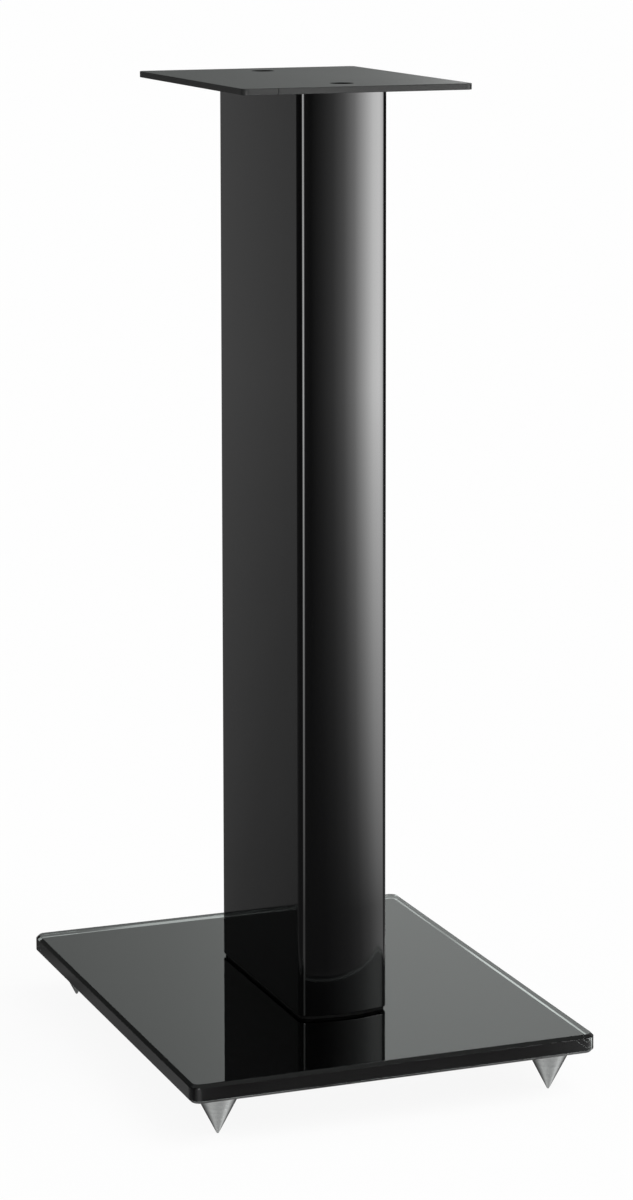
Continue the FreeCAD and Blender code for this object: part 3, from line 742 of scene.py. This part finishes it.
# the tent's rings, and where one part's light fades into the next
tentSizes = {"radius": 3.0, "high": 3.0, "columns": 145, "lift": 0.0004,
             "floorRings": (0.02, 0.08, 0.14, 0.2, 0.25, 0.3, 0.45, 0.7, 1.0, 1.5, 2.0, 2.6),
             "wallRows": (0.0, 0.2, 0.5, 0.7, 1.0, 1.4, 2.0, 3.0), "ceilingRings": (2.0, 1.0, 0.02),
             "power": 12.0, "shade": 0.04, "ceiling": 0.42, "upperTint": (0.955, 1, 0.978),
             "footPlace": (0.1095, 0.1435), "heading": 21.0, "rearShare": 0.25, "rearFade": 0.05,
             "footFade": (0.045, 0.075), "nearFade": (0.25, 0.3), "lowFrom": 0.43, "lowBend": 0.8,
             "upperFade": (0.55, 0.8), "skyFade": (1.4, 1.9), "ceilingFade": (2.3, 3.2),
             "holeFade": (1.0, 0.5), "glassFade": (0.3, 0.5)}

lampSizes = {"worldPlain": 0.5, "sunPower": 1.75, "sunSoft": 50.0, "sunFrom": (0.65, -0.5, 1.1),
             "platePlace": (0.31, 0.255, 0.75), "plateWide": 0.2, "platePower": 0.32}

cameraSizes = {"place": (-0.7987, -2.1050, 0.7621), "heading": 21.02, "down": 7.2, "roll": -0.07,
               "lens": 107.2, "sensor": 36.0, "shiftY": -0.24, "clipEnd": 100.0}

# what the light tent gives in each direction: degrees from straight ahead of the stand, towards its
# right, and the light there. lowLight is the far floor and the foot of the wall, highLight the wall
# above it, skyLight its top, floorLight the floor before the base, nearLight the floor close round it
lowLight = [(-180, 0.42), (-166, 0.4), (-160.5, 0.28), (-158, 0.2), (-156, 0.18), (-150, 0.05), (-60, 0.03),
            (-48, 0.06), (-41, 4.5), (-32, 11.0), (-23, 4.5), (-15, 0.12), (-8, 0.07), (1, 0.3), (10, 0.63),
            (19, 1.4), (28, 3.2), (36.5, 6.8), (45, 10.8), (51, 11.6), (54, 9.5), (58, 2.0), (63, 0.2),
            (75, 0.04), (130, 0.04), (150, 0.3), (180, 0.42)]
highLight = [(-180, 0.4), (-170, 0.16), (-158, 0.08), (-130, 0.06), (-100, 0.1), (-48, 0.05), (-41, 1.2),
             (-32, 2.5), (-23, 1.2), (-15, 0.04), (1, 0.08), (10, 0.23), (19, 0.5), (28, 0.9), (36.5, 1.6),
             (45, 2.8), (52, 3.1), (57, 1.0), (63, 0.3), (100, 0.35), (130, 0.75), (148, 0.84), (154, 0.87),
             (158.5, 0.86), (162, 0.56), (166, 0.45), (180, 0.44)]
skyLight = [(-180, 0.2), (-90, 0.08), (60, 0.1), (100, 0.45), (140, 0.85), (170, 0.65), (180, 0.2)]
floorLight = [(-180, 0.21), (-161, 0.15), (-158, 0.1), (-149, 0.06), (-60, 0.06), (-48, 0.06), (-41, 0.5),
              (-32, 1.0), (-23, 0.5), (-15, 0.04), (1, 0.04), (10, 0.09), (19, 0.16), (28, 0.32),
              (36.5, 0.7), (45, 1.4), (52, 1.8), (57, 0.7), (65, 0.2), (110, 0.2), (150, 0.3), (180, 0.21)]
nearLight = [(-180, 0.42), (-160, 0.35), (-143, 0.14), (-126, 0.15), (-100, 0.14), (-67, 0.2), (-40, 0.2),
             (0, 0.25), (16, 0.3), (40, 0.3), (60, 0.45), (80, 0.75), (115, 0.75), (140, 0.5), (180, 0.42)]

# the floor round one foot: degrees from straight behind it at the tent's heading, towards its right.
# It is darkest straight behind the foot: a painted shadow of the spike, which the spike's rims mirror
footLight = [(-180, 0.44), (-160, 0.5), (-145, 0.54), (-128, 0.56), (-111, 0.42), (-92, 0.22), (-71, 0.08),
             (-45, 0.01), (45, 0.01), (62, 0.12), (82, 0.5), (101, 0.8), (119, 0.68), (136, 0.5),
             (150, 0.44), (180, 0.44)]


def rampWire(finish, place, table, power):
    # place goes from 0 at -180 degrees to 1 at 180
    stops = [((degrees + 180) / 360, light / power) for degrees, light in table]
    settings = {"stops": stops, "interpolation": "LINEAR"}
    return finish.node("ShaderNodeValToRGB", settings, {"Fac": place}) * power


def footWire(finish, s):
    # light and distance round the nearest foot: along and across are measured at the tent's fixed
    # heading, the same for every view, and the direction is atan2(across, along)
    x, y, _ = finish.axes()
    footX, footY = s["footPlace"]
    # the rear feet get only rearShare of this light, so their spikes mirror a darker floor
    share = 1 - y.ramped(-s["rearFade"], s["rearFade"]) * (1 - s["rearShare"])
    x = x - x.math("SIGN", x) * footX
    y = y - y.math("SIGN", y) * footY
    sine, cosine = math.sin(math.radians(s["heading"])), math.cos(math.radians(s["heading"]))
    along = x * sine + y * cosine
    across = x * cosine - y * sine
    turn = across.math("ARCTAN2", across, along) / (2 * math.pi) + 0.5
    distance = (along * along + across * across).power(0.5)
    return rampWire(finish, turn, footLight, s["power"]) * share, distance


def rayWire(finish, kind):
    # 1 for rays of one kind, 0 for all others
    return Wire(finish, finish.node("ShaderNodeLightPath").socket.node.outputs[kind])


def makeFloor(s):
    # pale and matt under the lamps; the camera sees it nearly white, and its shadow stays
    turn = np.radians(np.arange(s["steps"]) * 360 / s["steps"])
    rings = np.array(s["rings"])[::-1, None] / mm
    grid = np.stack((rings * np.cos(turn), rings * np.sin(turn), 0 * rings + 0 * turn), axis=2)
    shape = bmesh.new()
    addGrid(shape, grid)
    finish = Finish("studio floor")
    matt = finish.node("ShaderNodeBsdfDiffuse", inputs={"Color": s["colour"]})
    white = finish.node("ShaderNodeEmission", inputs={"Color": (1, 1, 1, 1), "Strength": 1.0})
    share = rayWire(finish, "Is Camera Ray") * s["whiteShare"]
    mixed = finish.node("ShaderNodeMixShader", inputs={0: share, 1: matt, 2: white})
    addObject("studioFloor", meshFrom("studioFloor", shape, finish.surface(mixed)))


def tentFinish(s):
    # along is the direction and path the way: below 0 in from the wall's foot, up to high on the
    # wall, then in over the ceiling, which has a dark hole in its middle
    finish = Finish("light tent")
    wide, high = s["radius"], s["high"]
    where = finish.node("ShaderNodeUVMap", {"uv_map": "tentPlace"})
    split = finish.node("ShaderNodeSeparateXYZ", inputs={0: where}).socket.node
    along, path = Wire(finish, split.outputs[0]), Wire(finish, split.outputs[1]) * (high + 2 * wide) - wide
    low, upper, sky, ground, near = [rampWire(finish, along, table, s["power"])
                                     for table in (lowLight, highLight, skyLight, floorLight, nearLight)]
    foot, distance = footWire(finish, s)
    onFloor = {fade: path.ramped(s[fade][0] - wide, s[fade][1] - wide) for fade in ("nearFade", "glassFade")}
    strength = near.mixed(ground, onFloor["nearFade"])
    strength = foot.mixed(strength, distance.ramped(*s["footFade"])) + s["shade"]
    far = wide - s["lowFrom"]
    strength = strength.mixed(low, ((path + far) / far).clipped().power(s["lowBend"]))
    strength = strength.mixed(upper, path.ramped(*s["upperFade"]))
    strength = strength.mixed(sky, path.ramped(*s["skyFade"]))
    strength = strength.mixed(s["ceiling"], path.ramped(*s["ceilingFade"]))
    strength = strength * (1 - path.ramped(high + wide - s["holeFade"][0], high + wide - s["holeFade"][1]))
    strength = strength.mixed(1.0, rayWire(finish, "Is Transmission Ray") * onFloor["glassFade"])
    tint = finish.blend(path.ramped(*s["upperFade"]), (1, 1, 1), s["upperTint"])
    light = finish.node("ShaderNodeEmission", inputs={"Color": tint, "Strength": strength})
    return finish.surface(light)


def makeTent(s):
    # a round floor, wall and ceiling of light that only gloss and glass see:
    # point(u, v) = radius(v) * (sin u, -cos u), at height(v)
    columns, wide, high = s["columns"], s["radius"], s["high"]
    turn = np.radians(np.linspace(-180, 180, columns))
    way = np.concatenate((np.array(s["floorRings"]) - wide, s["wallRows"],
                          high + wide - np.array(s["ceilingRings"])))[:, None]
    radius = wide + np.minimum(way, 0) - np.maximum(way - high, 0)
    height = np.clip(way, 0, high) + s["lift"]
    grid = np.stack((radius * np.sin(turn), -radius * np.cos(turn), height + 0 * turn), axis=2)
    faces = gridFaces(len(way), columns, closeColumns=False)
    mesh = bpy.data.meshes.new("lightTent")
    mesh.from_pydata(grid.reshape(-1, 3).tolist(), [], faces.tolist())
    across = np.tile(np.linspace(0, 1, columns), (len(way), 1))
    up = np.tile((way + wide) / (high + 2 * wide), (1, columns))
    flat = np.stack((across, up), axis=2).reshape(-1, 2)
    layer = mesh.uv_layers.new(name="tentPlace")
    layer.data.foreach_set("uv", flat[faces.ravel()].ravel())
    material = tentFinish(s)
    material.cycles.emission_sampling = "NONE"
    mesh.materials.append(material)
    tent = addObject("lightTent", mesh)
    tent.visible_camera = False
    tent.visible_diffuse = False
    tent.visible_shadow = False


def addLamp(name, kind, power, facing):
    # a lamp that shines along facing and that the camera doesn't see
    light = bpy.data.lights.new(name, kind)
    light.energy = power
    lamp = addObject(name, light)
    lamp.rotation_mode = "QUATERNION"
    lamp.rotation_quaternion = facing.to_track_quat("-Z", "Y")
    lamp.visible_camera = False
    return lamp


def addPlateLamp(s):
    # a small soft lamp behind the plate's right end, which it mirrors dully
    toPlate = Vector((0.0, 0.0, plateSizes["top"] * mm)) - Vector(s["platePlace"])
    lamp = addLamp("plate lamp", "AREA", s["platePower"], toPlate)
    lamp.location = s["platePlace"]
    lamp.data.size = s["plateWide"]
    lamp.visible_transmission = False


def addSun(s):
    # one broad soft lamp from the right, in front and above, which gives the floor its shadow
    lamp = addLamp("soft sun", "SUN", s["sunPower"], -Vector(s["sunFrom"]))
    lamp.data.angle = math.radians(s["sunSoft"])
    lamp.visible_glossy = False


def makeWorld(s):
    # even studio light for everything, and plain white wherever the room itself is seen: straight
    # from the camera, off a gloss or through glass
    world = bpy.data.worlds.new("studio")
    bpy.context.scene.world = world
    finish = Finish("studio air", world)
    seen = rayWire(finish, "Is Camera Ray") + rayWire(finish, "Is Glossy Ray")
    seen = (seen + rayWire(finish, "Is Transmission Ray")).clipped()
    strength = s["worldPlain"] + seen * (1 - s["worldPlain"])
    finish.node("ShaderNodeOutputWorld", inputs={"Surface": finish.node(
        "ShaderNodeBackground", inputs={"Color": (1, 1, 1, 1), "Strength": strength})})


def makeCamera(s):
    heading, down = math.radians(s["heading"]), math.radians(s["down"])
    level = math.cos(down)
    ahead = Vector((math.sin(heading) * level, math.cos(heading) * level, -math.sin(down)))
    roll = Quaternion((0, 0, 1), math.radians(s["roll"]))
    camera = addObject("camera", bpy.data.cameras.new("camera"))
    camera.location = s["place"]
    camera.rotation_mode = "QUATERNION"
    camera.rotation_quaternion = ahead.to_track_quat("-Z", "Y") @ roll
    camera.data.lens = s["lens"]
    camera.data.sensor_width = s["sensor"]
    camera.data.shift_y = s["shiftY"]
    camera.data.clip_end = s["clipEnd"]
    bpy.context.scene.camera = camera


def makeStudio():
    makeFloor(floorSizes)
    makeTent(tentSizes)
    makeWorld(lampSizes)
    addSun(lampSizes)
    addPlateLamp(lampSizes)
    makeCamera(cameraSizes)
    bpy.context.scene.view_settings.view_transform = "Standard"
    print("studio made")


rubber = rubberFinish(rubberLook)
blackSteel = steelFinish("black oxide", oxideLook)
zincSteel = steelFinish("zinc plate", zincLook)
makeTopPlate(powderFinish(powderLook, plateSizes))
makeTopScrews(blackSteel)
makeColumn(lacquerFinish(lacquerLook))
makeGasket(rubber)
makeGlassBase(glassFinish(glassLook))
makeFilm(filmFinish(filmLook))
makeClampSheets(rubber, zincSteel)
makeRings(zincSteel, nylonFinish(nylonLook))
makeBaseBolts(blackSteel)
makeFeet(zincSteel, turnedFinish(turnedLook))
makeStudio()
